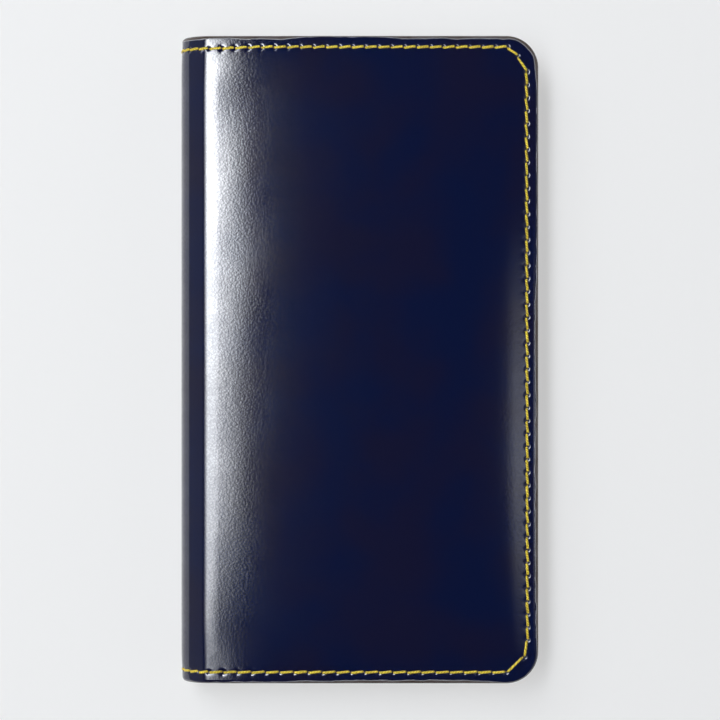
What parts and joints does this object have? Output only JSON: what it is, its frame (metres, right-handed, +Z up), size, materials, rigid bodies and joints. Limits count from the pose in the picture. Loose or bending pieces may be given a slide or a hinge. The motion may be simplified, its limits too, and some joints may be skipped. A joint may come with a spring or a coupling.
{
  "type": "phone wallet case",
  "caption": "Folding leather phone case, closed: stitched crowned cover, round spine, hard tray that holds a phone, and card and bill pockets inside the front cover.",
  "frame": {"origin": "underside of the back cover, at the centre of the closed wallet's length and width", "axes": "+X from the fold towards the fore edge, +Y up the page, +Z up through the closed thickness, front cover on top"},
  "size_m": [0.0804, 0.1456, 0.0168],
  "materials": {
    "outer_leather": "smooth polished navy leather with painted edges",
    "lining": "matte navy lining leather",
    "board": "bonded fibre stiffener",
    "padding": "thin felt padding",
    "thread": "waxed yellow thread",
    "pocket_cloth": "twill pocket cloth",
    "tray": "fine matte moulded plastic",
    "adhesive": "double-sided sheet"
  },
  "bodies": {
    "back_cover": {"back_outer_leather": "outer_leather", "back_core": "board", "back_lining": "lining", "back_outer_thread": "thread", "back_inner_thread": "thread", "tray_adhesive": "adhesive", "phone_tray": "tray"},
    "spine": {"spine_outer_leather": "outer_leather", "spine_core": "board", "spine_lining": "lining", "spine_outer_thread": "thread", "spine_inner_thread": "thread"},
    "front_cover": {"front_outer_leather": "outer_leather", "front_crown_pad": "padding", "front_core": "board", "front_lining": "lining", "bill_pocket": "lining", "card_pocket_back": "lining", "card_pocket_back_liner": "pocket_cloth", "card_pocket_middle": "lining", "card_pocket_middle_liner": "pocket_cloth", "card_pocket_front": "lining", "pocket_thread": "thread", "front_outer_thread": "thread", "front_inner_thread": "thread"}
  },
  "joints": [
    {"name": "back_fold", "type": "hinge", "parent": "back_cover", "child": "spine", "pos_m": [-0.03838, 0, 0.00187], "axis": [0, -1, 0], "range_deg": [0, 175]},
    {"name": "front_fold", "type": "hinge", "parent": "spine", "child": "front_cover", "pos_m": [-0.03838, 0, 0.01393], "axis": [0, -1, 0], "range_deg": [0, 175]}
  ]
}
